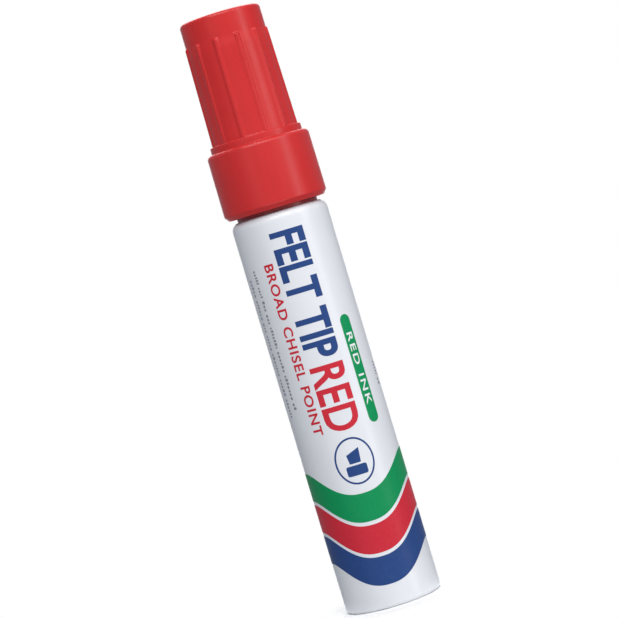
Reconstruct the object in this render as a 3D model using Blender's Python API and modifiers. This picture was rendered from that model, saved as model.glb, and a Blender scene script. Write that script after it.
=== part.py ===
"""Jumbo felt tip marker: an aluminium can with a ribbed pull-off cap and a wide chisel nib.

Metres, +Z up. The marker stands on its base, with its axis on Z and the cap on top.
"""

from math import cos, pi, radians, sin

import bmesh
import bpy

MM = 0.001

# Heights above the base, in millimetres
TOTAL_LENGTH = 150.9
BARREL_TOP = 100.4
CAP_BOTTOM = 101.3
SKIRT_TOP = 118.15
STEP_RING_TOP = 119.85
RIBS_TOP = 144.7
RIB_ZONE_RAMP = 1.6
NECK_TOP = 109.0
NOSE_TAPER_START = 118.6
NOSE_TOP = 123.5
NIB_HEEL = 132.6
NIB_TIP = 139.2
INNER_CAP_MOUTH = 109.3
SNAP_BEAD_Z = CAP_BOTTOM + 4.0

# Radii, in millimetres
BARREL_R = 12.2
BARREL_WALL = 0.45
SHOULDER_INSET = 1.8
SHOULDER_HEIGHT = 2.2
BASE_ROUND = 1.0
BASE_THICKNESS = 0.8
BASE_DISH_R = 8.0
BASE_DISH_DEPTH = 0.5
NECK_R = 10.25
NECK_ROUND = 0.5
SNAP_BEAD_RISE = 0.4
SNAP_BEAD_HALF = 0.8
SNAP_BEAD_FLAT = 0.2
HOLDER_CUP_R = 7.7
NOSE_R = 8.0
NOSE_TOP_R = 7.6
NOSE_FILLET = 0.4
BAND_R = 10.26
BAND_ROUND = 1.0
RIB_ZONE_TOP_R = 10.44
RIB_FOOT_R = 10.8
STEP_RING_R = 11.62
STEP_RING_ROUND = 0.45
SKIRT_R = 13.1
SKIRT_TOP_R = 13.0
SKIRT_ROUND = 1.2
SKIRT_EDGE_Z = 0.8
SKIRT_EDGE_CHAMFER = 0.25
LIP_R = 12.15
LIP_HEIGHT = 0.5
SKIRT_BORE_R = 11.35
SNAP_RING_RISE = 0.2
SNAP_RING_LOW = 0.8
SNAP_RING_HIGH = 1.6
SNAP_RING_END = 2.4
SKIRT_CEILING = 3.2
SKIRT_CEILING_SLOPE = 1.6
CAP_BORE_R = 8.95
CAP_BORE_START = 0.6
CAP_TOP_THICKNESS = 1.5
INNER_CAP_R = 8.85
INNER_CAP_WALL = 0.75
INNER_CAP_SHOULDER = 0.8
SEAL_LOW = 0.5
SEAL_HIGH = 1.5
SEAL_END = 2.2

# Grip ribs: twelve, evenly spaced, with a draft that thickens them towards the skirt
RIB_COUNT = 12
RIB_PHASE = radians(15.5)
RIB_WIDTH = 1.1
RIB_CREST_TOP_R = 10.81
RIB_CREST_FOOT_R = 11.18
RIB_ROOT_DEPTH = 0.6

# Felt nib and ink store
NIB_WIDE = 12.0
NIB_THICK = 7.5
NIB_TAIL_BOTTOM = 84.0
SOCKET_GAP = 0.15
NIB_SOFTENING = 0.6
PLUG_BOTTOM = 90.0
PLUG_TOP = BARREL_TOP - 1.0
PLUG_TOP_INSET = 0.65
PLUG_TOP_SLOPE = 1.1
PLUG_CHAMFER = 0.6
HOLDER_WEB = 2.5
STORE_BOTTOM = 1.7
STORE_TOP = 89.7
STORE_R = 11.1
FILM_WALL = 0.2

# Clearances between neighbouring pieces, and the small chamfers on their edges
FIT_GAP = 0.1
SEAT_GAP = 0.3
SMALL_CHAMFER = 0.3
EDGE_CHAMFER = 0.5
CUTTER_EXCESS = 2.0

STEPS = 72
ARC_STEPS = 4


def clear_scene():
    for thing in list(bpy.data.objects):
        bpy.data.objects.remove(thing, do_unlink=True)


def new_collection(name):
    group = bpy.data.collections.new(name)
    bpy.context.scene.collection.children.link(group)
    return group


def material(name, colour, roughness, metallic=0.0):
    made = bpy.data.materials.new(name)
    made.use_nodes = True
    shader = made.node_tree.nodes["Principled BSDF"]
    shader.inputs["Base Color"].default_value = (*colour, 1.0)
    shader.inputs["Roughness"].default_value = roughness
    shader.inputs["Metallic"].default_value = metallic
    return made


def arc(centre_r, centre_z, radius, start_deg, end_deg, steps=ARC_STEPS, height=None):
    """Points of a round in the (radius, height) plane, angles counted from the outward direction.

    A height of its own makes the round a quarter of an ellipse.
    """
    points = []
    for i in range(steps + 1):
        angle = radians(start_deg + (end_deg - start_deg) * i / steps)
        points.append((centre_r + radius * cos(angle), centre_z + (height or radius) * sin(angle)))
    return points


def add_mesh_object(name, mesh, group, look):
    made = bpy.data.objects.new(name, mesh)
    mesh.materials.append(look)
    group.objects.link(made)
    return made


def turned(name, profile, group, look, closed=False):
    """A profile of (radius, height) pairs in millimetres, outer side first, turned about Z."""
    mesh = bpy.data.meshes.new(name)
    points = [(r * MM, 0.0, z * MM) for r, z in profile]
    edges = [(i, i + 1) for i in range(len(points) - 1)]
    if closed:
        edges.append((len(points) - 1, 0))
    mesh.from_pydata(points, edges, [])
    made = add_mesh_object(name, mesh, group, look)
    screw = made.modifiers.new("turn", "SCREW")
    screw.axis = "Z"
    screw.angle = 2 * pi
    screw.steps = STEPS
    screw.render_steps = STEPS
    screw.use_merge_vertices = True
    screw.merge_threshold = 0.00001
    screw.use_smooth_shade = True
    return made


def join_or_cut(target, tool, operation):
    boolean = target.modifiers.new(operation.lower(), "BOOLEAN")
    boolean.operation = operation
    boolean.solver = "EXACT"
    boolean.object = tool


def add_tool(name, mesh, tools):
    """A cutter or a shape to be joined on, kept out of the model itself."""
    tool = bpy.data.objects.new(name, mesh)
    tool.hide_render = True
    tool.display_type = "WIRE"
    tools.objects.link(tool)
    return tool


def box_mesh(name, low, high):
    """A box between two corners, in millimetres."""
    shape = bmesh.new()
    bmesh.ops.create_cube(shape, size=1.0)
    size = [(b - a) * MM for a, b in zip(low, high)]
    middle = [(a + b) / 2 * MM for a, b in zip(low, high)]
    bmesh.ops.scale(shape, vec=size, verts=shape.verts)
    bmesh.ops.translate(shape, vec=middle, verts=shape.verts)
    mesh = bpy.data.meshes.new(name)
    shape.to_mesh(mesh)
    shape.free()
    return mesh


def make_barrel(group, look):
    """Drawn can with a dished base and a mouth that is rolled in over the nib holder's plug."""
    inner = BARREL_R - BARREL_WALL
    lip_r = BARREL_R - SHOULDER_INSET
    shoulder_z = BARREL_TOP - SHOULDER_HEIGHT
    inner_inset = SHOULDER_INSET - BARREL_WALL
    inner_height = SHOULDER_HEIGHT - BARREL_WALL
    dish_edge = BASE_DISH_R + BASE_DISH_DEPTH
    floor_round = BASE_ROUND / 2
    profile = [
        (0.0, BASE_THICKNESS + BASE_DISH_DEPTH),
        (BASE_DISH_R, BASE_THICKNESS + BASE_DISH_DEPTH),
        (dish_edge, BASE_THICKNESS),
        (inner - floor_round, BASE_THICKNESS),
        (inner, BASE_THICKNESS + floor_round),
    ]
    profile += arc(lip_r, shoulder_z, inner_inset, 0, 90, height=inner_height)
    profile += arc(lip_r, shoulder_z, SHOULDER_INSET, 90, 0, height=SHOULDER_HEIGHT)
    profile += arc(BARREL_R - BASE_ROUND, BASE_ROUND, BASE_ROUND, 0, -90)
    profile += [(dish_edge, 0.0), (BASE_DISH_R, BASE_DISH_DEPTH), (0.0, BASE_DISH_DEPTH)]
    return turned("barrel", profile, group, look)


def make_nib_holder(group, tools, look):
    """Plug, neck with its snap bead, shoulder and nose, with the nib's socket right through."""
    plug_r = BARREL_R - BARREL_WALL - FIT_GAP
    bead_r = NECK_R + SNAP_BEAD_RISE
    cup_top = NECK_TOP - HOLDER_WEB
    profile = [
        (0.0, NOSE_TOP),
        (NOSE_TOP_R - SMALL_CHAMFER, NOSE_TOP),
        (NOSE_TOP_R, NOSE_TOP - SMALL_CHAMFER),
        (NOSE_R, NOSE_TAPER_START),
        (NOSE_R, NECK_TOP + NOSE_FILLET),
        (NOSE_R + NOSE_FILLET, NECK_TOP),
    ]
    profile += arc(NECK_R - NECK_ROUND, NECK_TOP - NECK_ROUND, NECK_ROUND, 90, 0, 3)
    profile += [
        (NECK_R, SNAP_BEAD_Z + SNAP_BEAD_HALF),
        (bead_r, SNAP_BEAD_Z + SNAP_BEAD_FLAT),
        (bead_r, SNAP_BEAD_Z - SNAP_BEAD_FLAT),
        (NECK_R, SNAP_BEAD_Z - SNAP_BEAD_HALF),
        (NECK_R, PLUG_TOP),
        (plug_r - PLUG_TOP_INSET, PLUG_TOP),
        (plug_r, PLUG_TOP - PLUG_TOP_SLOPE),
        (plug_r, PLUG_BOTTOM + PLUG_CHAMFER),
        (plug_r - PLUG_CHAMFER, PLUG_BOTTOM),
        (HOLDER_CUP_R, PLUG_BOTTOM),
        (HOLDER_CUP_R, cup_top),
        (0.0, cup_top),
    ]
    holder = turned("nib_holder", profile, group, look)
    half_wide = NIB_WIDE / 2 + SOCKET_GAP
    half_thick = NIB_THICK / 2 + SOCKET_GAP
    low = (-half_wide, -half_thick, cup_top - CUTTER_EXCESS)
    high = (half_wide, half_thick, NOSE_TOP + CUTTER_EXCESS)
    socket_tool = add_tool("socket_tool", box_mesh("socket", low, high), tools)
    join_or_cut(holder, socket_tool, "DIFFERENCE")
    return holder


def make_nib(group, look):
    """Felt block whose top is cut at a slant, high on the +X side, with softened edges."""
    mesh = box_mesh(
        "nib",
        (-NIB_WIDE / 2, -NIB_THICK / 2, NIB_TAIL_BOTTOM),
        (NIB_WIDE / 2, NIB_THICK / 2, NIB_TIP),
    )
    for vertex in mesh.vertices:
        if vertex.co.z > NIB_HEEL * MM and vertex.co.x < 0:
            vertex.co.z = NIB_HEEL * MM
    nib = add_mesh_object("nib", mesh, group, look)
    soften = nib.modifiers.new("soften", "BEVEL")
    soften.width = NIB_SOFTENING * MM
    soften.segments = 3
    return nib


def make_reservoir(group, tools, fibre, film):
    """Fibre bundle with a pocket for the nib's tail, and the film tube around it."""
    core = turned(
        "reservoir_core",
        [
            (0.0, STORE_TOP),
            (STORE_R - EDGE_CHAMFER, STORE_TOP),
            (STORE_R, STORE_TOP - EDGE_CHAMFER),
            (STORE_R, STORE_BOTTOM + EDGE_CHAMFER),
            (STORE_R - EDGE_CHAMFER, STORE_BOTTOM),
            (0.0, STORE_BOTTOM),
        ],
        group,
        fibre,
    )
    half_wide = NIB_WIDE / 2 + SEAT_GAP
    half_thick = NIB_THICK / 2 + SEAT_GAP
    low = (-half_wide, -half_thick, NIB_TAIL_BOTTOM - SEAT_GAP)
    high = (half_wide, half_thick, STORE_TOP + CUTTER_EXCESS)
    pocket_tool = add_tool("pocket_tool", box_mesh("pocket", low, high), tools)
    join_or_cut(core, pocket_tool, "DIFFERENCE")
    film_bore = STORE_R + FIT_GAP
    turned(
        "reservoir_film",
        [
            (film_bore + FILM_WALL, STORE_TOP),
            (film_bore + FILM_WALL, STORE_BOTTOM),
            (film_bore, STORE_BOTTOM),
            (film_bore, STORE_TOP),
        ],
        group,
        film,
        closed=True,
    )


def cap_shell_profile():
    """Top, band, rib zone, step ring, skirt and lip down the outside, then back up the bore."""
    ring_r = STEP_RING_R - STEP_RING_ROUND
    ring_z = STEP_RING_TOP - STEP_RING_ROUND
    ceiling = TOTAL_LENGTH - CAP_TOP_THICKNESS
    corner = SMALL_CHAMFER / 2
    profile = [(0.0, TOTAL_LENGTH)]
    profile += arc(BAND_R - BAND_ROUND, TOTAL_LENGTH - BAND_ROUND, BAND_ROUND, 90, 0)
    profile += [
        (BAND_R, RIBS_TOP),
        (RIB_ZONE_TOP_R, RIBS_TOP - RIB_ZONE_RAMP),
        (RIB_FOOT_R, STEP_RING_TOP + corner),
        (RIB_FOOT_R + corner, STEP_RING_TOP),
    ]
    profile += arc(ring_r, ring_z, STEP_RING_ROUND, 90, 0, 3)
    profile += [(STEP_RING_R, SKIRT_TOP + corner), (STEP_RING_R + corner, SKIRT_TOP)]
    profile += arc(SKIRT_TOP_R - SKIRT_ROUND, SKIRT_TOP - SKIRT_ROUND, SKIRT_ROUND, 90, 0)
    profile += [
        (SKIRT_R, CAP_BOTTOM + SKIRT_EDGE_Z + SKIRT_EDGE_CHAMFER),
        (SKIRT_R - SKIRT_EDGE_CHAMFER, CAP_BOTTOM + SKIRT_EDGE_Z),
        (LIP_R, CAP_BOTTOM + LIP_HEIGHT),
        (LIP_R, CAP_BOTTOM),
        (SKIRT_BORE_R + SMALL_CHAMFER, CAP_BOTTOM),
        (SKIRT_BORE_R - SNAP_RING_RISE, CAP_BOTTOM + SNAP_RING_LOW),
        (SKIRT_BORE_R - SNAP_RING_RISE, CAP_BOTTOM + SNAP_RING_HIGH),
        (SKIRT_BORE_R, CAP_BOTTOM + SNAP_RING_END),
        (SKIRT_BORE_R, SKIRT_TOP - SKIRT_CEILING),
        (CAP_BORE_R + CAP_BORE_START, SKIRT_TOP - SKIRT_CEILING_SLOPE),
        (CAP_BORE_R, SKIRT_TOP - CAP_BORE_START),
        (CAP_BORE_R, ceiling - EDGE_CHAMFER),
        (CAP_BORE_R - EDGE_CHAMFER, ceiling),
        (0.0, ceiling),
    ]
    return profile


def rib_mesh():
    """One grip rib along Z, on the +X side: its crest leans out towards the skirt."""
    root_r = CAP_BORE_R + RIB_ROOT_DEPTH
    low = (root_r, -RIB_WIDTH / 2, STEP_RING_TOP - RIB_ROOT_DEPTH)
    mesh = box_mesh("rib", low, (RIB_CREST_TOP_R, RIB_WIDTH / 2, RIBS_TOP))
    for vertex in mesh.vertices:
        if vertex.co.x > root_r * MM + MM / 2 and vertex.co.z < STEP_RING_TOP * MM:
            vertex.co.x = RIB_CREST_FOOT_R * MM
    return mesh


def make_cap_shell(group, tools, look):
    shell = turned("cap_shell", cap_shell_profile(), group, look)
    mesh = rib_mesh()
    for i in range(RIB_COUNT):
        rib = add_tool(f"rib_tool_{i + 1:02d}", mesh, tools)
        rib.rotation_euler = (0.0, 0.0, RIB_PHASE + 2 * pi * i / RIB_COUNT)
        join_or_cut(shell, rib, "UNION")
    return shell


def make_inner_cap(group, look):
    """Liner cup, pushed up into the shell, whose mouth closes on the nose."""
    bore = INNER_CAP_R - INNER_CAP_WALL
    seal_r = NOSE_R + FIT_GAP / 2
    top = TOTAL_LENGTH - CAP_TOP_THICKNESS - SEAT_GAP
    ceiling = top - INNER_CAP_WALL
    profile = [
        (0.0, top),
        (INNER_CAP_R - INNER_CAP_SHOULDER, top),
        (INNER_CAP_R, top - INNER_CAP_SHOULDER),
        (INNER_CAP_R, INNER_CAP_MOUTH),
        (seal_r + SMALL_CHAMFER, INNER_CAP_MOUTH),
        (seal_r, INNER_CAP_MOUTH + SEAL_LOW),
        (seal_r, INNER_CAP_MOUTH + SEAL_HIGH),
        (bore, INNER_CAP_MOUTH + SEAL_END),
        (bore, ceiling - EDGE_CHAMFER),
        (bore - EDGE_CHAMFER, ceiling),
        (0.0, ceiling),
    ]
    return turned("inner_cap", profile, group, look)


def shade(group):
    for piece in group.objects:
        piece.data.shade_smooth()
        piece.data.set_sharp_from_angle(angle=radians(35))


def main():
    clear_scene()
    group = new_collection("felt_tip_marker")
    tools = new_collection("cutters")
    red = material("red_plastic", (0.57, 0.035, 0.035), 0.35)
    section_red = material("section_plastic", (0.42, 0.02, 0.02), 0.4)
    lacquer = material("white_lacquer", (0.78, 0.79, 0.82), 0.3)
    felt = material("felt", (0.45, 0.03, 0.03), 0.95)
    fibre = material("ink_fibre", (0.5, 0.04, 0.04), 1.0)
    film = material("clear_film", (0.85, 0.85, 0.85), 0.25)
    liner = material("liner_plastic", (0.8, 0.8, 0.78), 0.45)
    make_barrel(group, lacquer)
    make_nib_holder(group, tools, section_red)
    make_nib(group, felt)
    make_reservoir(group, tools, fibre, film)
    make_cap_shell(group, tools, red)
    make_inner_cap(group, liner)
    shade(group)


main()
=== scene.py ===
"""Looks of the felt tip marker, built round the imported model.

Metres, +Z up: the marker stands on the origin with its cap on top. The marker's own sizes below are
in millimetres, and become metres as its meshes are made. Places on the print are arcs round the can,
counted from its front, the -Y side, positive towards +X, and heights above its base.
"""

import random
from math import acos, ceil, cos, pi, radians, sin, tan

import bmesh
import bpy
from mathutils import Matrix, Quaternion, Vector


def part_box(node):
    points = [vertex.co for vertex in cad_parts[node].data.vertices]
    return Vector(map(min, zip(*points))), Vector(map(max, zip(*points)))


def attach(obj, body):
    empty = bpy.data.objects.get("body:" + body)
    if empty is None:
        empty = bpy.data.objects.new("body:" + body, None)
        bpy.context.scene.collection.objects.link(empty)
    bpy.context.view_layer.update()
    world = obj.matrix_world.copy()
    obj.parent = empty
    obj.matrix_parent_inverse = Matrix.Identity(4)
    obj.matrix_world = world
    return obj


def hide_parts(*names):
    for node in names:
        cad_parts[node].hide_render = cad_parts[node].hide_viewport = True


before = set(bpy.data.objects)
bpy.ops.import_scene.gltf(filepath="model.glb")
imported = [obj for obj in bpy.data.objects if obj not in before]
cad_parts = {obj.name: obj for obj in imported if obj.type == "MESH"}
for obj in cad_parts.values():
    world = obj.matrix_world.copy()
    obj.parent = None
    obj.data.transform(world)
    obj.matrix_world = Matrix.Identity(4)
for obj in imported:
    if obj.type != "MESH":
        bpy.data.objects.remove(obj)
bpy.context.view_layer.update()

MM = 0.001
BARREL_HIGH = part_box("barrel")[1] / MM
CAP_LOW, CAP_HIGH = (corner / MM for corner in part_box("cap_shell"))
NIB_LOW, NIB_HIGH = (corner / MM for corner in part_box("nib"))
HOLDER_LOW, HOLDER_HIGH = (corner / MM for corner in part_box("nib_holder"))
LINER_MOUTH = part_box("inner_cap")[0].z / MM

# Can
BARREL_R = BARREL_HIGH.x
BARREL_TOP = BARREL_HIGH.z
BARREL_WALL = 0.45
SHOULDER_INSET = 1.8
SHOULDER_HEIGHT = 2.2
BASE_ROUND = 1.0
BASE_THICKNESS = 0.8
BASE_DISH_R = 8.0
BASE_DISH_DEPTH = 0.5
BASE_DISH_ROUND = 0.3
BASE_INNER_ROUND = 0.5
WALL_BELOW_SHOULDER = 1.0
CAN_ROUND_STEPS = 10
BARREL_COLUMNS = 240

# Cap
CAP_BOTTOM = CAP_LOW.z
CAP_TOP = CAP_HIGH.z
SKIRT_R = CAP_HIGH.x
SKIRT_TOP = CAP_BOTTOM + 16.85
STEP_RING_TOP = SKIRT_TOP + 1.7
RIBS_TOP = CAP_TOP - 6.2
SKIRT_TOP_R = 13.0
SKIRT_ROUND = 1.2
SKIRT_FOOT_ROUND = 0.2
SKIRT_EDGE_Z = 1.15
SKIRT_EDGE_ROUND = 0.6
LIP_R = 12.2
LIP_ROUND = 0.15
STEP_RING_R = 11.62
STEP_RING_ROUND = 0.25
BAND_R = 10.26
BAND_ROUND = 1.0
SKIRT_BORE_R = 11.35
BORE_CHAMFER = 0.3
SNAP_RING_RISE = 0.2
SNAP_RING_LOW = 0.8
SNAP_RING_HIGH = 1.6
SNAP_RING_END = 2.4
SNAP_RING_LOW_ROUND = 0.2
SNAP_RING_ROUND = 0.3
SKIRT_CEILING = SKIRT_TOP - 3.2
CAP_BORE_START = SKIRT_TOP - 0.6
CAP_BORE_R = 8.95
CAP_TOP_THICKNESS = 1.5
CAP_INNER_ROUND = 0.5

# The small round dent that the moulding gate leaves in the middle of the cap's top
GATE_R = 1.1
GATE_BEVEL = 0.15
GATE_DEPTH = 0.12
TOP_DISH = 0.02
TOP_RIM = 2.2

# Grip ribs, and the cap's own radius between them at the top and the foot of their zone
RIB_COUNT = 12
RIB_PHASE = radians(15.5)
RIB_ZONE_RAMP = 5.0
RIB_ZONE_TOP_R = 10.58
RIB_FOOT_R = 10.96
RIB_CREST_TOP_R = 10.81
RIB_CREST_FOOT_R = 11.18
RIB_FLAT = 0.15
RIB_EDGE = 0.95
RIB_END = 0.7
RIB_ROOT_ROUND = 0.3
CREST_WEAR_START = 10.7
CREST_WEAR_FULL = 11.2

# Rings of the mesh from above the ribs' ends down through the ramp, this many to each end's length
RINGS_PER_END = 6
RINGS_ABOVE = 8
RINGS_BELOW = 24

# Print: how far it stands proud of the lacquer and reaches into it, and the strips it is bent in
PRINT_PROUD = 0.03
OVERPRINT_PROUD = 0.045
PRINT_SUNK = -0.03
PRINT_STRIP = 0.6

# Print: the feet and heads of the big words, the ring round the picture, and the wavy bands
BIG_LEFT = -3.8
BIG_RIGHT = 4.8
PICTURE_MIDDLE = (0.55, 37.0)
RING_HALF_WIDE = 4.95
RING_HALF_HIGH = 5.85
RING_LINE = 0.45
BAND_FEET = {"green": 21.8, "red": 13.75, "blue": 5.75}
BAND_WIDTH = 7.1
BAND_COLUMNS = 240
WAVE_RISE = 7.4
WAVE_MIDDLE = 0.4
WAVE_HALF_LENGTH = 16.5
WAVE_SHARPNESS = 1.25

# Small print: each line's middle, top, bottom and tallest mark, then the marks and words in it
SMALL_LINES = [(-11.3, 88.0, 52.0, 0.95), (-14.2, 86.0, 50.0, 0.95), (15.8, 58.5, 51.5, 1.1)]
MARK_LONG = (0.35, 0.75)
MARK_TALL = (0.7, 0.7, 1.0)
MARK_ROUND = 0.1
MARK_GAP = 0.3
WORD_GAP = 0.6
WORD_MARKS = (3, 8)
FIRST_WORD_MARKS = 5

# Nib
NIB_HEEL_DROP = 6.6
NIB_CORNER = 0.9
NIB_RIM = 0.8
NIB_STRAY = 0.03
NIB_TAIL_RINGS = (0, 25, 40)
NIB_RING_STEP = 0.7
NIB_BODY_RINGS = 11
NIB_SLANT_RINGS = 14
NIB_RIM_RINGS = 6
NIB_FACE_RINGS = 3

# Nib holder
PLUG_R = HOLDER_HIGH.x
PLUG_BOTTOM = HOLDER_LOW.z
PLUG_TOP = BARREL_TOP - 1.0
NOSE_TOP = HOLDER_HIGH.z
NOSE_TAPER_START = NOSE_TOP - 4.9
NECK_TOP = NOSE_TOP - 14.5
NOSE_R = 8.0
NOSE_TOP_R = 7.6
NOSE_ROUND = 0.4
NOSE_TAPER_ROUND = 6
NECK_R = 10.25
NECK_ROUND = 0.5
NECK_FOOT_ROUND = 0.2
SNAP_BEAD_Z = CAP_BOTTOM + 4.0
SNAP_BEAD_RISE = 0.4
SNAP_BEAD_HALF = 0.8
SNAP_BEAD_FLAT = 0.2
SNAP_BEAD_ROUND = 0.3
PLUG_TOP_INSET = 0.65
PLUG_TOP_SLOPE = 1.1
PLUG_ROUND = 0.5
HOLDER_CUP_R = 7.7
HOLDER_CUP_ROUND = 0.3
HOLDER_WEB = 2.5
SOCKET_GAP = 0.15
SOCKET_CORNER = 0.3
SOCKET_EXCESS = 2
HOLDER_COLUMNS = 144

# How far dried ink reaches down the nose, and ink smears up the liner
STAIN_LENGTH = 4.0
SMEAR_TOP = 8.7

# Colours, linear
CAP_RED = (0.59, 0.02, 0.02)
CAP_SCUFF = (0.66, 0.08, 0.08)
LACQUER = (0.775, 0.789, 0.815)
DUST = (0.5, 0.5, 0.52)
INKS = {
    "blue": (0.019, 0.059, 0.212),
    "red": (0.6, 0.022, 0.04),
    "green": (0.0, 0.27, 0.085),
    "pill": (0.0, 0.28, 0.09),
    "white": (0.83, 0.85, 0.84),
    "grey": (0.28, 0.29, 0.33),
}
# Nib holder: the cap's red, darkened as painted shade of the neck's recess under the cap's skirt
SECTION_RED_PAINTED_SHADE = (0.34, 0.02, 0.022)
INK_STAIN = (0.16, 0.006, 0.01)
NIB_WET = (0.15, 0.008, 0.01)
NIB_DRY = (0.4, 0.028, 0.028)
FIBRE_WET = (0.25, 0.015, 0.015)
FIBRE_DRY = (0.5, 0.06, 0.06)
FILM_CLEAR = (0.9, 0.9, 0.9)
LINER_MILK = (0.78, 0.76, 0.73)
LINER_SMEAR = (0.5, 0.08, 0.08)
FLOOR_PALE = (0.95, 0.95, 0.95)
FLOOR_DARKER = (0.94, 0.94, 0.94)
FLOOR_LIGHTER = (0.97, 0.97, 0.97)
WORLD_TINT = (0.85, 0.9, 1.0)

# Studio, in metres, degrees and watts. The floor's fade runs between two distances from the marker.
AIM = Vector((0.00047, 0.0, 0.0751))
CAMERA_PLACE = Vector((0.00047, -0.620, 0.096))
CAMERA_ROLL = radians(-16.68)
CAMERA_LENS = 146.2
SENSOR_WIDTH = 36
FLOOR_R = 0.12
FLOOR_FADE = (0.0122, 0.022)
WORLD_STRENGTH = 0.33
STRIP_ELEVATION = 6
STRIP_DISTANCE = 1.0
STRIP_HEIGHT = 1.0

# Tall soft strips round the marker: azimuth, width, power
STRIPS = [
    (-30, 0.5, 0.57),
    (0, 0.4, 0.3),
    (18, 0.2, 0.1),
    (32, 0.2, 0.3),
    (45, 0.2, 0.15),
    (57, 0.14, 1.5),
    (66, 0.14, 0.6),
    (180, 0.6, 2.6),
]

# Soft panels above and below: name, azimuth, elevation, distance, width, height, power
PANELS = [
    ("front_high", 2, 50, 1.0, 0.8, 0.5, 4.9),
    ("right_high", 60, 45, 1.0, 0.6, 0.5, 2.0),
    ("top_line", -15, 72, 0.8, 0.5, 0.12, 0.8),
    ("front_low", 5, -40, 1.0, 0.8, 0.5, 2.4),
    ("back_high", 180, 50, 1.0, 0.8, 0.5, 4.5),
]


# ---------------------------------------------------------------- mesh helpers


def add_piece(name, mesh, look, body):
    """Puts a finished mesh in the scene as a piece of the marker."""
    piece = bpy.data.objects.new(name, mesh)
    bpy.context.scene.collection.objects.link(piece)
    mesh.materials.append(look)
    mesh.shade_smooth()
    mesh.set_sharp_from_angle(angle=radians(40))
    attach(piece, body)
    return piece


def filleted(corners, steps=6):
    """A path of (radius, height, round) corners, with each round drawn as an arc."""
    path = []
    for i, (r, z, fillet) in enumerate(corners):
        here = Vector((r, z))
        if fillet == 0:
            path.append(here)
            continue
        back = (Vector(corners[i - 1][:2]) - here).normalized()
        ahead = (Vector(corners[i + 1][:2]) - here).normalized()
        half = acos(max(-1.0, min(1.0, back.dot(ahead)))) / 2
        reach = fillet / tan(half)
        centre = here + (back + ahead).normalized() * fillet / sin(half)
        start = here + back * reach - centre
        end = here + ahead * reach - centre
        sweep = start.angle_signed(end)
        for k in range(steps + 1):
            turn = Matrix.Rotation(-sweep * k / steps, 2)
            path.append(centre + turn @ start)
    return path


def quarter_ellipse(centre_r, centre_z, wide, high, steps=14):
    """The points of a rounded shoulder, from its outer side up and in to its top."""
    turns = [pi / 2 * i / steps for i in range(steps + 1)]
    return [Vector((centre_r + wide * cos(turn), centre_z + high * sin(turn))) for turn in turns]


def turned_mesh(name, path, angles, swell=None):
    """Turns a path that starts and ends on the axis about Z, so that it closes into a solid.

    swell(angle, r, z) may push a point outwards.
    """
    shape = bmesh.new()
    rings = []
    for r, z in path:
        if r < 1e-6:
            rings.append([shape.verts.new((0, 0, z * MM))])
            continue
        ring = []
        for angle in angles:
            far = r + (swell(angle, r, z) if swell else 0)
            ring.append(shape.verts.new((far * cos(angle) * MM, far * sin(angle) * MM, z * MM)))
        rings.append(ring)
    count = len(angles)
    for upper, lower in zip(rings, rings[1:]):
        for j in range(count):
            k = (j + 1) % count
            if len(upper) == 1:
                shape.faces.new((upper[0], lower[j], lower[k]))
            elif len(lower) == 1:
                shape.faces.new((upper[j], lower[0], upper[k]))
            else:
                shape.faces.new((upper[j], lower[j], lower[k], upper[k]))
    bmesh.ops.recalc_face_normals(shape, faces=shape.faces)
    mesh = bpy.data.meshes.new(name)
    shape.to_mesh(mesh)
    shape.free()
    return mesh


def even_angles(count):
    return [2 * pi * i / count for i in range(count)]


# ---------------------------------------------------------------- cap


def rib_offsets():
    """Places from one rib's middle to just before the next one's, in millimetres round the cap."""
    sector = 2 * pi / RIB_COUNT * RIB_FOOT_R
    side = [RIB_FLAT + (RIB_EDGE - RIB_FLAT) * i / 8 for i in range(9)]
    gap = [RIB_EDGE + (sector / 2 - RIB_EDGE) * i / 4 for i in range(1, 4)]
    half = [RIB_FLAT / 2, *side, *gap]
    return [0.0, *half, sector / 2, *[sector - x for x in reversed(half)]]


def cap_angles():
    pitch = 2 * pi / RIB_COUNT
    return [RIB_PHASE + pitch * i + x / RIB_FOOT_R for i in range(RIB_COUNT) for x in rib_offsets()]


def smooth_step(x):
    x = max(0.0, min(1.0, x))
    return x * x * (3 - 2 * x)


def rib_swell(angle, r, z):
    """How far a grip rib lifts the cap's outside at this place."""
    if r < CAP_BORE_R + 1 or z < STEP_RING_TOP - 0.001:
        return 0.0
    pitch = 2 * pi / RIB_COUNT
    across = abs((angle - RIB_PHASE + pitch / 2) % pitch - pitch / 2) * RIB_FOOT_R
    along = (z - STEP_RING_TOP) / (RIBS_TOP - STEP_RING_TOP)
    crest = RIB_CREST_FOOT_R + (RIB_CREST_TOP_R - RIB_CREST_FOOT_R) * along
    side = 1 - smooth_step((across - RIB_FLAT) / (RIB_EDGE - RIB_FLAT))
    end = 1 - smooth_step((z - RIBS_TOP + RIB_END / 2) / RIB_END)
    return max(0.0, crest - r) * side * end


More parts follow.
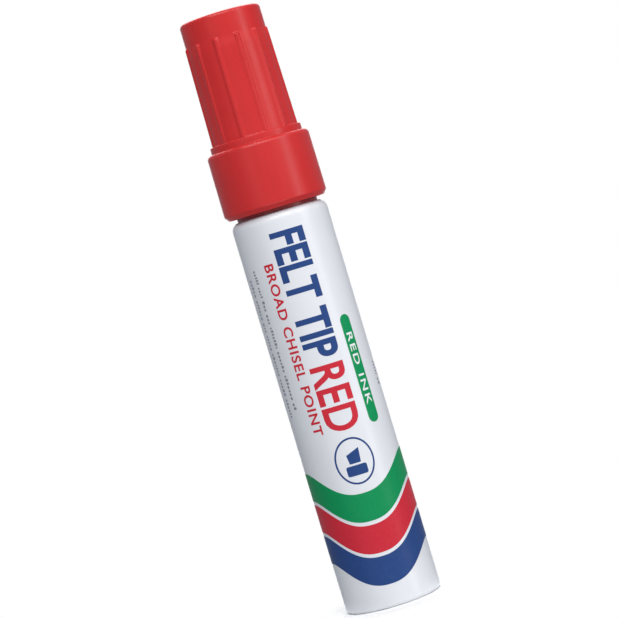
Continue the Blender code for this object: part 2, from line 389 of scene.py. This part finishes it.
def cap_path():
    """The cap's outline, from the middle of its top down its outside, and up its bore."""
    ceiling = CAP_TOP - CAP_TOP_THICKNESS
    snap_r = SKIRT_BORE_R - SNAP_RING_RISE
    end_low = RIBS_TOP - RIB_END / 2
    corners = [
        (0, CAP_TOP - GATE_DEPTH, 0),
        (GATE_R - GATE_BEVEL, CAP_TOP - GATE_DEPTH, 0),
        (GATE_R + GATE_BEVEL, CAP_TOP - TOP_DISH, 0),
        (BAND_R - TOP_RIM, CAP_TOP, 0),
        (BAND_R, CAP_TOP, BAND_ROUND),
    ]
    for i in range(RINGS_ABOVE, -RINGS_BELOW - 1, -1):
        z = end_low + RIB_END * i / RINGS_PER_END
        below = smooth_step((RIBS_TOP + RIB_END - z) / (RIB_ZONE_RAMP - 2 * RIB_END))
        corners.append((BAND_R + (RIB_ZONE_TOP_R - BAND_R) * below, z, 0))
    corners += [
        (RIB_FOOT_R, STEP_RING_TOP, RIB_ROOT_ROUND),
        (STEP_RING_R, STEP_RING_TOP, STEP_RING_ROUND),
        (STEP_RING_R, SKIRT_TOP, SKIRT_FOOT_ROUND),
        (SKIRT_TOP_R, SKIRT_TOP, SKIRT_ROUND),
        (SKIRT_R, CAP_BOTTOM + SKIRT_EDGE_Z, SKIRT_EDGE_ROUND),
        (LIP_R, CAP_BOTTOM, LIP_ROUND),
        (SKIRT_BORE_R + BORE_CHAMFER, CAP_BOTTOM, LIP_ROUND),
        (snap_r, CAP_BOTTOM + SNAP_RING_LOW, SNAP_RING_LOW_ROUND),
        (snap_r, CAP_BOTTOM + SNAP_RING_HIGH, SNAP_RING_ROUND),
        (SKIRT_BORE_R, CAP_BOTTOM + SNAP_RING_END, SNAP_RING_ROUND),
        (SKIRT_BORE_R, SKIRT_CEILING, CAP_INNER_ROUND),
        (CAP_BORE_R, CAP_BORE_START, CAP_INNER_ROUND),
        (CAP_BORE_R, ceiling, CAP_INNER_ROUND),
        (0, ceiling, 0),
    ]
    return filleted(corners)


def make_cap(look):
    mesh = turned_mesh("cap_body", cap_path(), cap_angles(), rib_swell)
    piece = add_piece("cap_body", mesh, look, "cap")
    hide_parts("cap_shell")
    return piece


# ---------------------------------------------------------------- can


def make_barrel(look):
    """Drawn can: dished base, straight side, and a shoulder rolled in over the nib holder."""
    inner = BARREL_R - BARREL_WALL
    lip_r = BARREL_R - SHOULDER_INSET
    shoulder_z = BARREL_TOP - SHOULDER_HEIGHT
    wall_top = shoulder_z - WALL_BELOW_SHOULDER
    dish = BASE_THICKNESS + BASE_DISH_DEPTH
    dish_edge_r = BASE_DISH_R + BASE_DISH_DEPTH
    inside = [
        (0, dish, 0),
        (BASE_DISH_R, dish, BASE_DISH_ROUND),
        (dish_edge_r, BASE_THICKNESS, BASE_DISH_ROUND),
        (inner, BASE_THICKNESS, BASE_INNER_ROUND),
        (inner, wall_top, 0),
    ]
    outside = [
        (BARREL_R, wall_top, 0),
        (BARREL_R, 0, BASE_ROUND),
        (dish_edge_r, 0, BASE_DISH_ROUND),
        (BASE_DISH_R, BASE_DISH_DEPTH, BASE_DISH_ROUND),
        (0, BASE_DISH_DEPTH, 0),
    ]
    inner_shoulder = (SHOULDER_INSET - BARREL_WALL, SHOULDER_HEIGHT - BARREL_WALL)
    path = filleted(inside, CAN_ROUND_STEPS)
    path += quarter_ellipse(lip_r, shoulder_z, *inner_shoulder)
    path += reversed(quarter_ellipse(lip_r, shoulder_z, SHOULDER_INSET, SHOULDER_HEIGHT))
    path += filleted(outside, CAN_ROUND_STEPS)
    mesh = turned_mesh("barrel_can", path, even_angles(BARREL_COLUMNS))
    piece = add_piece("barrel_can", mesh, look, "marker_body")
    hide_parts("barrel")
    return piece


# ---------------------------------------------------------------- print on the can


def wrap_on_can(name, flat, proud, look):
    """Bends a flat solid onto the can: x runs round it, y up it, and z out of it, in millimetres.

    The front face stands proud of the lacquer, and the back face is sunk in it.
    """
    shape = bmesh.new()
    shape.from_mesh(flat)
    bpy.data.meshes.remove(flat)
    bmesh.ops.remove_doubles(shape, verts=shape.verts, dist=0.001)
    left = min(v.co.x for v in shape.verts)
    right = max(v.co.x for v in shape.verts)
    strips = ceil((right - left) / PRINT_STRIP)
    for i in range(1, strips):
        parts = [*shape.verts, *shape.edges, *shape.faces]
        cut = left + (right - left) * i / strips
        bmesh.ops.bisect_plane(shape, geom=parts, plane_co=(cut, 0, 0), plane_no=(1, 0, 0))
    for v in shape.verts:
        angle = v.co.x / BARREL_R
        far = BARREL_R + (proud if v.co.z > 0 else PRINT_SUNK)
        v.co = Vector((far * sin(angle), -far * cos(angle), v.co.y)) * MM
    bmesh.ops.recalc_face_normals(shape, faces=shape.faces)
    mesh = bpy.data.meshes.new(name)
    shape.to_mesh(mesh)
    shape.free()
    return add_piece(name, mesh, look, "marker_body")


def flat_mesh(curve):
    """The closed flat solid of a filled curve or text, lying in the XY plane."""
    curve.extrude = 0.5
    carrier = bpy.data.objects.new(curve.name, curve)
    bpy.context.scene.collection.objects.link(carrier)
    bpy.context.view_layer.update()
    seen = carrier.evaluated_get(bpy.context.evaluated_depsgraph_get())
    mesh = bpy.data.meshes.new_from_object(seen)
    bpy.data.objects.remove(carrier)
    bpy.data.curves.remove(curve)
    return mesh


def words_mesh(words, left, right, top, bottom, spacing=1.0, bolder=0.0):
    """Generic words that read down the can, with their feet at left and their heads at right."""
    curve = bpy.data.curves.new("words", "FONT")
    curve.body = words
    curve.space_character = spacing
    curve.offset = bolder
    curve.resolution_u = 5
    mesh = flat_mesh(curve)
    xs = [v.co.x for v in mesh.vertices]
    ys = [v.co.y for v in mesh.vertices]
    across = (right - left) / (max(ys) - min(ys))
    down = (top - bottom) / (max(xs) - min(xs))
    for v in mesh.vertices:
        x, y, z = v.co
        v.co = (left + (y - min(ys)) * across, top - (x - min(xs)) * down, z)
    return mesh


def outline_mesh(outlines):
    """A flat shape with holes, from closed outlines of (x, y) points."""
    curve = bpy.data.curves.new("outline", "CURVE")
    curve.dimensions = "2D"
    curve.fill_mode = "BOTH"
    for points in outlines:
        spline = curve.splines.new("POLY")
        spline.points.add(len(points) - 1)
        for place, (x, y) in zip(spline.points, points):
            place.co = (x, y, 0, 1)
        spline.use_cyclic_u = True
    return flat_mesh(curve)


def round_bar(x0, y0, x1, y1, corner, steps=6):
    """Outline of an upright bar with rounded corners."""
    points = []
    for cx, cy, start in [
        (x1 - corner, y1 - corner, 0),
        (x0 + corner, y1 - corner, 90),
        (x0 + corner, y0 + corner, 180),
        (x1 - corner, y0 + corner, 270),
    ]:
        for i in range(steps + 1):
            a = radians(start + 90 * i / steps)
            points.append((cx + corner * cos(a), cy + corner * sin(a)))
    return points


def ellipse(cx, cy, half_wide, half_high, steps=64):
    return [
        (cx + half_wide * cos(2 * pi * i / steps), cy + half_high * sin(2 * pi * i / steps))
        for i in range(steps)
    ]


def wave(angle):
    """How far a band has risen above its foot, its lowest place, which is in front and again behind."""
    round_can = (angle * BARREL_R - WAVE_MIDDLE) / (pi * BARREL_R)
    along = abs(round_can - round(round_can)) * pi * BARREL_R / WAVE_HALF_LENGTH
    return WAVE_RISE * ((1 - cos(pi * min(1.0, along))) / 2) ** WAVE_SHARPNESS


def make_band(name, foot, look):
    """One plain wavy band all the way round the can, as a thin closed ring."""
    shape = bmesh.new()
    rings = []
    for proud, up in [(PRINT_SUNK, 0), (PRINT_PROUD, 0), (PRINT_PROUD, 1), (PRINT_SUNK, 1)]:
        ring = []
        for i in range(BAND_COLUMNS):
            angle = 2 * pi * i / BAND_COLUMNS
            z = foot + up * BAND_WIDTH + wave(angle)
            far = BARREL_R + proud
            ring.append(shape.verts.new(Vector((far * sin(angle), -far * cos(angle), z)) * MM))
        rings.append(ring)
    for low, high in zip(rings, rings[1:] + rings[:1]):
        for j in range(BAND_COLUMNS):
            k = (j + 1) % BAND_COLUMNS
            shape.faces.new((low[j], low[k], high[k], high[j]))
    bmesh.ops.recalc_face_normals(shape, faces=shape.faces)
    mesh = bpy.data.meshes.new(name)
    shape.to_mesh(mesh)
    shape.free()
    return add_piece(name, mesh, look, "marker_body")


def make_words(inks):
    """Generic words for the kind of marker, its colour, its point and its ink."""
    big = words_mesh("FELT TIP", BIG_LEFT, BIG_RIGHT, top=95.6, bottom=63.2, bolder=0.03)
    wrap_on_can("print_kind", big, PRINT_PROUD, inks["blue"])
    colour = words_mesh("RED", BIG_LEFT, BIG_RIGHT, top=61.4, bottom=44.8, bolder=0.02)
    wrap_on_can("print_colour_name", colour, PRINT_PROUD, inks["red"])
    thin = words_mesh(
        "BROAD CHISEL POINT", left=-7.6, right=-5.0, top=88.6, bottom=45.2, spacing=1.12, bolder=0.02
    )
    wrap_on_can("print_point_kind", thin, PRINT_PROUD, inks["red"])
    pill = outline_mesh([round_bar(x0=7.3, y0=44.5, x1=10.4, y1=71.8, corner=1.5)])
    wrap_on_can("print_pill", pill, PRINT_PROUD, inks["pill"])
    ink = words_mesh("RED INK", left=8.0, right=9.75, top=67.2, bottom=49.0, spacing=1.2, bolder=0.012)
    wrap_on_can("print_ink_kind", ink, OVERPRINT_PROUD, inks["white"])


def make_small_print(inks):
    """Lines of tiny unreadable marks in place of the small print."""
    rng = random.Random(7)
    for number, (middle, top, bottom, high) in enumerate(SMALL_LINES, 1):
        foot = middle - high / 2
        outlines = []
        z = top
        marks_left = FIRST_WORD_MARKS
        while z > bottom + 1:
            long = rng.uniform(*MARK_LONG)
            tall = high * rng.choice(MARK_TALL)
            outlines.append(round_bar(foot, z - long, foot + tall, z, MARK_ROUND, steps=2))
            marks_left -= 1
            z -= long + MARK_GAP
            if marks_left == 0:
                marks_left = rng.randint(*WORD_MARKS)
                z -= WORD_GAP
        wrap_on_can(f"print_small_{number}", outline_mesh(outlines), PRINT_PROUD, inks["grey"])


def make_pictogram(inks):
    """A plain picture of the chisel tip, in a ring."""
    x, z = PICTURE_MIDDLE
    outer = ellipse(x, z, RING_HALF_WIDE, RING_HALF_HIGH)
    inner = ellipse(x, z, RING_HALF_WIDE - RING_LINE, RING_HALF_HIGH - RING_LINE)
    wrap_on_can("print_ring", outline_mesh([outer, inner]), PRINT_PROUD, inks["blue"])
    tip = [(x - 1.4, z - 0.6), (x + 1.4, z - 0.6), (x + 1.7, z + 3.0), (x - 1.7, z + 1.7)]
    shoulder = round_bar(x - 2.6, z - 3.6, x + 2.6, z - 1.1, corner=0.5)
    wrap_on_can("print_tip_picture", outline_mesh([tip, shoulder]), PRINT_PROUD, inks["blue"])


# ---------------------------------------------------------------- nib holder


def prism_mesh(name, outline, low, high):
    """A closed upright prism over a flat outline of (x, y) points."""
    shape = bmesh.new()
    floor = [shape.verts.new(Vector((x, y, low)) * MM) for x, y in outline]
    roof = [shape.verts.new(Vector((x, y, high)) * MM) for x, y in outline]
    for j in range(len(outline)):
        k = (j + 1) % len(outline)
        shape.faces.new((floor[j], floor[k], roof[k], roof[j]))
    shape.faces.new(list(reversed(floor)))
    shape.faces.new(roof)
    mesh = bpy.data.meshes.new(name)
    shape.to_mesh(mesh)
    shape.free()
    return mesh


def cut_mesh(name, solid, cutter):
    """What is left of one closed mesh once another is cut out of it."""
    kept, tool = (bpy.data.objects.new(mesh.name, mesh) for mesh in (solid, cutter))
    for thing in (kept, tool):
        bpy.context.scene.collection.objects.link(thing)
    boolean = kept.modifiers.new("cut", "BOOLEAN")
    boolean.operation = "DIFFERENCE"
    boolean.solver = "EXACT"
    boolean.object = tool
    bpy.context.view_layer.update()
    seen = kept.evaluated_get(bpy.context.evaluated_depsgraph_get())
    mesh = bpy.data.meshes.new_from_object(seen)
    mesh.name = name
    for thing in (kept, tool):
        bpy.data.objects.remove(thing)
    return mesh


def make_holder(look):
    """Plug, neck with its snap bead, and nose, with softened edges and the nib's socket through them."""
    cup_top = NECK_TOP - HOLDER_WEB
    bead_r = NECK_R + SNAP_BEAD_RISE
    corners = [
        (0, NOSE_TOP, 0),
        (NOSE_TOP_R, NOSE_TOP, NOSE_ROUND),
        (NOSE_R, NOSE_TAPER_START, NOSE_TAPER_ROUND),
        (NOSE_R, NECK_TOP, NOSE_ROUND),
        (NECK_R, NECK_TOP, NECK_ROUND),
        (NECK_R, SNAP_BEAD_Z + SNAP_BEAD_HALF, SNAP_BEAD_ROUND),
        (bead_r, SNAP_BEAD_Z + SNAP_BEAD_FLAT, SNAP_BEAD_ROUND),
        (bead_r, SNAP_BEAD_Z - SNAP_BEAD_FLAT, SNAP_BEAD_ROUND),
        (NECK_R, SNAP_BEAD_Z - SNAP_BEAD_HALF, SNAP_BEAD_ROUND),
        (NECK_R, PLUG_TOP, NECK_FOOT_ROUND),
        (PLUG_R - PLUG_TOP_INSET, PLUG_TOP, NECK_FOOT_ROUND),
        (PLUG_R, PLUG_TOP - PLUG_TOP_SLOPE, PLUG_ROUND),
        (PLUG_R, PLUG_BOTTOM, PLUG_ROUND),
        (HOLDER_CUP_R, PLUG_BOTTOM, HOLDER_CUP_ROUND),
        (HOLDER_CUP_R, cup_top, PLUG_ROUND),
        (0, cup_top, 0),
    ]
    solid = turned_mesh("holder_solid", filleted(corners, steps=8), even_angles(HOLDER_COLUMNS))
    wide, thick = NIB_HIGH.x + SOCKET_GAP, NIB_HIGH.y + SOCKET_GAP
    hole = round_bar(-wide, -thick, wide, thick, SOCKET_CORNER, steps=3)
    socket = prism_mesh("socket", hole, cup_top - SOCKET_EXCESS, NOSE_TOP + SOCKET_EXCESS)
    piece = add_piece("holder", cut_mesh("holder", solid, socket), look, "marker_body")
    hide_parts("nib_holder")
    return piece


# ---------------------------------------------------------------- nib


def tip_height(x):
    """Height of the slanted tip at x: high on the +X side."""
    wide = NIB_HIGH.x
    return NIB_HIGH.z - NIB_HEEL_DROP * (wide - x) / (2 * wide)


def nib_rings():
    """The nib's outline at each of its levels, from the tail up to the middle of the slanted face."""
    outline = round_bar(-NIB_HIGH.x, -NIB_HIGH.y, NIB_HIGH.x, NIB_HIGH.y, NIB_CORNER, steps=5)
    heights = [NIB_LOW.z + up for up in NIB_TAIL_RINGS]
    heights += [heights[-1] + NIB_RING_STEP * i for i in range(1, NIB_BODY_RINGS + 1)]
    body_top = heights[-1]
    rings = [[(x, y, z) for x, y in outline] for z in heights]
    for k in range(1, NIB_SLANT_RINGS + 1):
        rise = k / NIB_SLANT_RINGS
        rings.append(
            [(x, y, body_top + (tip_height(x) - NIB_RIM - body_top) * rise) for x, y in outline]
        )
    for k in range(1, NIB_RIM_RINGS + 1):
        turn = pi / 2 * k / NIB_RIM_RINGS
        pull = 1 - NIB_RIM * (1 - cos(turn)) / NIB_HIGH.y
        rings.append(
            [(x * pull, y * pull, tip_height(x) - NIB_RIM + NIB_RIM * sin(turn)) for x, y in outline]
        )
    for k in range(1, NIB_FACE_RINGS + 1):
        pull = (1 - NIB_RIM / NIB_HIGH.y) * (1 - k / (NIB_FACE_RINGS + 1))
        rings.append([(x * pull, y * pull, tip_height(x * pull)) for x, y in outline])
    return rings


def make_nib(look):
    """Felt block with softened edges, a slanted tip and slightly uneven faces."""
    rng = random.Random(3)
    shape = bmesh.new()
    loops = []
    for ring in nib_rings():
        loop = []
        for x, y, z in ring:
            stray_x = x + rng.uniform(-NIB_STRAY, NIB_STRAY)
            stray_y = y + rng.uniform(-NIB_STRAY, NIB_STRAY)
            loop.append(shape.verts.new(Vector((stray_x, stray_y, min(z, NIB_HIGH.z))) * MM))
        loops.append(loop)
    count = len(loops[0])
    for low, high in zip(loops, loops[1:]):
        for j in range(count):
            k = (j + 1) % count
            shape.faces.new((low[j], low[k], high[k], high[j]))
    shape.faces.new(loops[-1])
    shape.faces.new(list(reversed(loops[0])))
    bmesh.ops.recalc_face_normals(shape, faces=shape.faces)
    mesh = bpy.data.meshes.new("felt_nib")
    shape.to_mesh(mesh)
    shape.free()
    piece = add_piece("felt_nib", mesh, look, "marker_body")
    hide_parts("nib")
    return piece


# ---------------------------------------------------------------- materials


class Look:
    """A node material under construction, whose textures read the piece's own coordinates in metres."""

    def __init__(self, name, colour, **constants):
        self.material = bpy.data.materials.new(name)
        self.material.use_nodes = True
        self.nodes = self.material.node_tree.nodes
        self.links = self.material.node_tree.links
        self.shader = self.nodes["Principled BSDF"]
        self.shader.inputs["Base Color"].default_value = (*colour, 1)
        for socket, value in constants.items():
            self.shader.inputs[socket.replace("_", " ")].default_value = value
        self.place = self.nodes.new("ShaderNodeTexCoord").outputs["Object"]

    def node(self, kind, settings=None, **inputs):
        made = self.nodes.new(kind)
        for key, value in (settings or {}).items():
            setattr(made, key, value)
        for socket, value in inputs.items():
            target = made.inputs[socket.replace("_", " ")]
            if isinstance(value, bpy.types.NodeSocket):
                self.links.new(value, target)
            else:
                target.default_value = value
        return made

    def stretched(self, x, y, z):
        return self.node("ShaderNodeMapping", Vector=self.place, Scale=(x, y, z)).outputs["Vector"]

    def noise(self, size_mm, detail=3, roughness=0.5, place=None):
        """Noise whose spots are about size_mm across."""
        made = self.node(
            "ShaderNodeTexNoise",
            Vector=place or self.place,
            Scale=1 / (size_mm * MM),
            Detail=detail,
            Roughness=roughness,
        )
        return made.outputs["Fac"]

    def scaled(self, value, low, high, from_low=0.0, from_high=1.0):
        made = self.node("ShaderNodeMapRange", Value=value)
        made.inputs["From Min"].default_value = from_low
        made.inputs["From Max"].default_value = from_high
        made.inputs["To Min"].default_value = low
        made.inputs["To Max"].default_value = high
        return made.outputs["Result"]

    def combined(self, first, second, operation="ADD"):
        made = self.node("ShaderNodeMath", {"operation": operation})
        for i, value in enumerate((first, second)):
            if isinstance(value, bpy.types.NodeSocket):
                self.links.new(value, made.inputs[i])
            else:
                made.inputs[i].default_value = value
        return made.outputs["Value"]

    def mixed(self, first, first_share, second, second_share):
        """Two values added in these shares."""
        first_part = self.combined(first, first_share, "MULTIPLY")
        second_part = self.combined(second, second_share, "MULTIPLY")
        return self.combined(first_part, second_part)

    def blend(self, share, first, second):
        """A colour between first and second."""
        made = self.node("ShaderNodeMix", {"data_type": "RGBA"})
        self.links.new(share, made.inputs["Factor"])
        for socket, colour in (("A", first), ("B", second)):
            target = next(s for s in made.inputs if s.name == socket and s.type == "RGBA")
            if isinstance(colour, bpy.types.NodeSocket):
                self.links.new(colour, target)
            else:
                target.default_value = (*colour, 1)
        return next(s for s in made.outputs if s.type == "RGBA")

    def drive(self, socket, value):
        self.links.new(value, self.shader.inputs[socket])

    def bumps(self, *layers):
        """Bump layers of (height, depth in millimetres), one on another."""
        normal = None
        for height, depth in layers:
            made = self.node("ShaderNodeBump", Height=height, Distance=depth * MM, Strength=1.0)
            if normal:
                self.links.new(normal, made.inputs["Normal"])
            normal = made.outputs["Normal"]
        self.drive("Normal", normal)

    def height(self):
        """Height above the marker's base, in metres."""
        return self.node("ShaderNodeSeparateXYZ", Vector=self.place).outputs["Z"]

    def radius(self):
        """Distance from the marker's axis, in metres."""
        flat = self.node("ShaderNodeVectorMath", {"operation": "MULTIPLY"})
        self.links.new(self.place, flat.inputs[0])
        flat.inputs[1].default_value = (1, 1, 0)
        size = self.node("ShaderNodeVectorMath", {"operation": "LENGTH"})
        self.links.new(flat.outputs["Vector"], size.inputs[0])
        return size.outputs["Value"]


def cap_plastic():
    """Moulded red polypropylene: flow streaks, fine mould texture, worn crests and a few scuffs."""
    look = Look("cap_plastic", CAP_RED, Specular_IOR_Level=0.4)
    streaks = look.noise(1.6, 3, place=look.stretched(1, 1, 0.09))
    cloud = look.noise(6)
    tone = look.mixed(streaks, 0.6, cloud, 0.4)
    darker, lighter = [c * 0.95 for c in CAP_RED], [c * 1.04 for c in CAP_RED]
    colour = look.blend(look.scaled(tone, 0, 1, 0.3, 0.7), darker, lighter)
    scuff = look.scaled(look.noise(2.2, 5, 0.65, look.stretched(1, 1, 0.25)), 0, 1, 0.64, 0.8)
    crest = look.scaled(look.radius(), 0, 1, CREST_WEAR_START * MM, CREST_WEAR_FULL * MM)
    worn = look.combined(scuff, look.combined(crest, 0.35, "MULTIPLY"), "MAXIMUM")
    colour = look.blend(look.combined(worn, 0.12, "MULTIPLY"), colour, CAP_SCUFF)
    look.drive("Base Color", colour)
    grain = look.noise(0.22, 2)
    rough = look.combined(look.scaled(look.noise(3.0), 0.27, 0.33, 0.3, 0.7), look.scaled(worn, 0, 0.05))
    look.drive("Roughness", rough)
    look.bumps((cloud, 0.03), (grain, 0.003))
    return look.material


def can_lacquer():
    """White lacquer on drawn aluminium: soft orange peel, faint drawing lines and tiny dust specks."""
    look = Look("can_lacquer", LACQUER, Specular_IOR_Level=0.5, Coat_Weight=0.3, Coat_Roughness=0.2)
    peel = look.noise(1.1, 2)
    lines = look.noise(0.5, 2, place=look.stretched(1, 1, 0.02))
    cloud = look.scaled(look.noise(9), 0, 1, 0.3, 0.7)
    colour = look.blend(cloud, [c * 0.985 for c in LACQUER], [min(1, c * 1.01) for c in LACQUER])
    speck = look.scaled(look.noise(0.4, 1), 0, 0.15, 0.8, 0.85)
    look.drive("Base Color", look.blend(speck, colour, DUST))
    look.drive("Roughness", look.scaled(look.noise(4, 4), 0.28, 0.36, 0.3, 0.7))
    look.bumps((peel, 0.004), (lines, 0.0015))
    return look.material


def print_ink(name, colour):
    """Screen-printed ink: slightly uneven cover, with a few pinholes that show the lacquer."""
    look = Look(name, colour, Specular_IOR_Level=0.22)
    cover = look.scaled(look.noise(0.9, 4), 0, 1, 0.3, 0.7)
    pale = [c + (l - c) * 0.004 for c, l in zip(colour, LACQUER)]
    mottled = look.blend(cover, [c * 0.96 for c in colour], pale)
    pinhole = look.scaled(look.noise(0.3, 1), 0, 0.3, 0.82, 0.87)
    look.drive("Base Color", look.blend(pinhole, mottled, LACQUER))
    look.drive("Roughness", look.scaled(look.noise(2.5, 3), 0.34, 0.42, 0.3, 0.7))
    look.bumps((look.noise(1.1, 2), 0.004), (look.noise(0.15, 2), 0.001))
    return look.material


def section_plastic():
    """Red plastic of the nib holder, darkened below the cap's red as painted shade of the neck's recess
    under the cap's skirt, shinier than the cap, with ink dried at the nose.
    """
    darker, lighter = [c * 0.9 for c in SECTION_RED_PAINTED_SHADE], [c * 1.1 for c in SECTION_RED_PAINTED_SHADE]
    look = Look("section_plastic", SECTION_RED_PAINTED_SHADE, Specular_IOR_Level=0.5)
    cloud = look.noise(3, 4)
    nose = look.scaled(look.height(), 0, 1, (NOSE_TOP - STAIN_LENGTH) * MM, NOSE_TOP * MM)
    stain = look.combined(nose, look.scaled(cloud, 0, 1, 0.35, 0.6), "MULTIPLY")
    colour = look.blend(look.scaled(cloud, 0, 1, 0.3, 0.7), darker, lighter)
    look.drive("Base Color", look.blend(stain, colour, INK_STAIN))
    look.drive("Roughness", look.scaled(look.noise(1.5, 3), 0.22, 0.36, 0.3, 0.7))
    look.bumps((cloud, 0.01), (look.noise(0.2, 2), 0.003))
    return look.material


def felt(name, wet, dry):
    """Pressed fibre soaked with ink: fibres lie along the nib, and cut ends show on the tip."""
    look = Look(name, wet, Specular_IOR_Level=0.25, Sheen_Weight=0.35, Sheen_Roughness=0.5)
    fibre = look.noise(0.28, 4, 0.6, look.stretched(1, 1, 0.18))
    fuzz = look.noise(0.1, 3, 0.6)
    dryness = look.mixed(fibre, 0.65, fuzz, 0.35)
    look.drive("Base Color", look.blend(look.scaled(dryness, 0, 1, 0.35, 0.68), wet, dry))
    look.drive("Roughness", look.scaled(look.noise(1.2, 3), 0.75, 0.98, 0.3, 0.7))
    look.bumps((fibre, 0.13), (fuzz, 0.07))
    return look.material


def clear_film():
    """Thin wrinkled film round the ink store."""
    look = Look("clear_film", FILM_CLEAR, Transmission_Weight=0.85, IOR=1.45)
    wrinkles = look.noise(2.5, 4, 0.6, look.stretched(1, 1, 0.3))
    look.drive("Roughness", look.scaled(wrinkles, 0.08, 0.25, 0.3, 0.7))
    look.bumps((wrinkles, 0.06))
    return look.material


def liner_plastic():
    """Milky liner cup, with ink smears near its mouth."""
    look = Look("liner_plastic", LINER_MILK, Specular_IOR_Level=0.4)
    cloud = look.noise(4, 4)
    mouth = look.scaled(look.height(), 1, 0, (LINER_MOUTH + 0.2) * MM, (LINER_MOUTH + SMEAR_TOP) * MM)
    smear = look.combined(mouth, look.scaled(cloud, 0, 0.7, 0.5, 0.65), "MULTIPLY")
    tinted = look.blend(look.scaled(cloud, 0, 1, 0.3, 0.7), [c * 0.95 for c in LINER_MILK], LINER_MILK)
    look.drive("Base Color", look.blend(smear, tinted, LINER_SMEAR))
    look.drive("Roughness", look.scaled(cloud, 0.35, 0.5, 0.3, 0.7))
    look.bumps((look.noise(0.3, 2), 0.004))
    return look.material


def paint(node, look):
    """Gives a CAD node that stays visible its finished material."""
    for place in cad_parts[node].material_slots:
        place.material = look


# ---------------------------------------------------------------- studio


def make_camera():
    data = bpy.data.cameras.new("camera")
    data.lens = CAMERA_LENS
    data.sensor_width = SENSOR_WIDTH
    camera = bpy.data.objects.new("camera", data)
    bpy.context.scene.collection.objects.link(camera)
    camera.location = CAMERA_PLACE
    camera.rotation_mode = "QUATERNION"
    looking = (AIM - CAMERA_PLACE).to_track_quat("-Z", "Y")
    camera.rotation_quaternion = looking @ Quaternion((0, 0, 1), CAMERA_ROLL)
    bpy.context.scene.camera = camera


def make_panel(name, azimuth, elevation, distance, width, height, power):
    """A soft rectangular light that faces the marker's middle."""
    data = bpy.data.lights.new(name, "AREA")
    data.shape = "RECTANGLE"
    data.size = width
    data.size_y = height
    data.energy = power
    panel = bpy.data.objects.new(name, data)
    bpy.context.scene.collection.objects.link(panel)
    a, e = radians(azimuth), radians(elevation)
    away = Vector((sin(a) * cos(e), -cos(a) * cos(e), sin(e)))
    middle = Vector((0, 0, CAP_TOP / 2 * MM))
    panel.location = middle + away * distance
    panel.rotation_mode = "QUATERNION"
    panel.rotation_quaternion = (-away).to_track_quat("-Z", "Y")


def make_world():
    """White behind the marker, and a dimmer grey all round it that its surfaces reflect."""
    world = bpy.data.worlds.new("studio")
    world.use_nodes = True
    bpy.context.scene.world = world
    nodes, links = world.node_tree.nodes, world.node_tree.links
    around = nodes["Background"]
    around.inputs["Color"].default_value = (*WORLD_TINT, 1)
    around.inputs["Strength"].default_value = WORLD_STRENGTH
    backdrop = nodes.new("ShaderNodeBackground")
    backdrop.inputs["Color"].default_value = (1, 1, 1, 1)
    seen = nodes.new("ShaderNodeLightPath")
    mix = nodes.new("ShaderNodeMixShader")
    links.new(seen.outputs["Is Camera Ray"], mix.inputs["Fac"])
    links.new(around.outputs["Background"], mix.inputs[1])
    links.new(backdrop.outputs["Background"], mix.inputs[2])
    links.new(mix.outputs["Shader"], nodes["World Output"].inputs["Surface"])


def make_floor():
    """Pale floor that fades into the white background well away from the marker."""
    look = Look("pale_floor", FLOOR_PALE, Roughness=0.9, Specular_IOR_Level=0.1)
    grain = look.noise(1.5, 3)
    look.drive("Base Color", look.blend(grain, FLOOR_DARKER, FLOOR_LIGHTER))
    fade = look.node("ShaderNodeMapRange", {"interpolation_type": "SMOOTHSTEP"}, Value=look.radius())
    for end, distance in zip(("From Min", "From Max"), FLOOR_FADE):
        fade.inputs[end].default_value = distance
    clear = look.node("ShaderNodeBsdfTransparent")
    mix = look.nodes.new("ShaderNodeMixShader")
    look.links.new(fade.outputs["Result"], mix.inputs["Fac"])
    look.links.new(look.shader.outputs["BSDF"], mix.inputs[1])
    look.links.new(clear.outputs["BSDF"], mix.inputs[2])
    look.links.new(mix.outputs["Shader"], look.nodes["Material Output"].inputs["Surface"])
    shape = bmesh.new()
    bmesh.ops.create_circle(shape, cap_ends=True, radius=FLOOR_R, segments=96)
    mesh = bpy.data.meshes.new("floor")
    shape.to_mesh(mesh)
    shape.free()
    mesh.materials.append(look.material)
    floor = bpy.data.objects.new("floor", mesh)
    bpy.context.scene.collection.objects.link(floor)


def make_studio():
    make_camera()
    make_world()
    make_floor()
    for number, (azimuth, width, power) in enumerate(STRIPS, 1):
        shape = (STRIP_ELEVATION, STRIP_DISTANCE, width, STRIP_HEIGHT)
        make_panel(f"strip_{number}", azimuth, *shape, power)
    for panel in PANELS:
        make_panel(*panel)
    bpy.context.scene.view_settings.view_transform = "Standard"


make_studio()
make_cap(cap_plastic())
make_barrel(can_lacquer())
INK_LOOKS = {name: print_ink(f"ink_{name}", colour) for name, colour in INKS.items()}
for band_colour, band_foot in BAND_FEET.items():
    make_band(f"band_{band_colour}", band_foot, INK_LOOKS[band_colour])
make_words(INK_LOOKS)
make_small_print(INK_LOOKS)
make_pictogram(INK_LOOKS)
make_nib(felt("nib_felt", NIB_WET, NIB_DRY))
make_holder(section_plastic())
paint("inner_cap", liner_plastic())
paint("reservoir_core", felt("ink_fibre", FIBRE_WET, FIBRE_DRY))
paint("reservoir_film", clear_film())
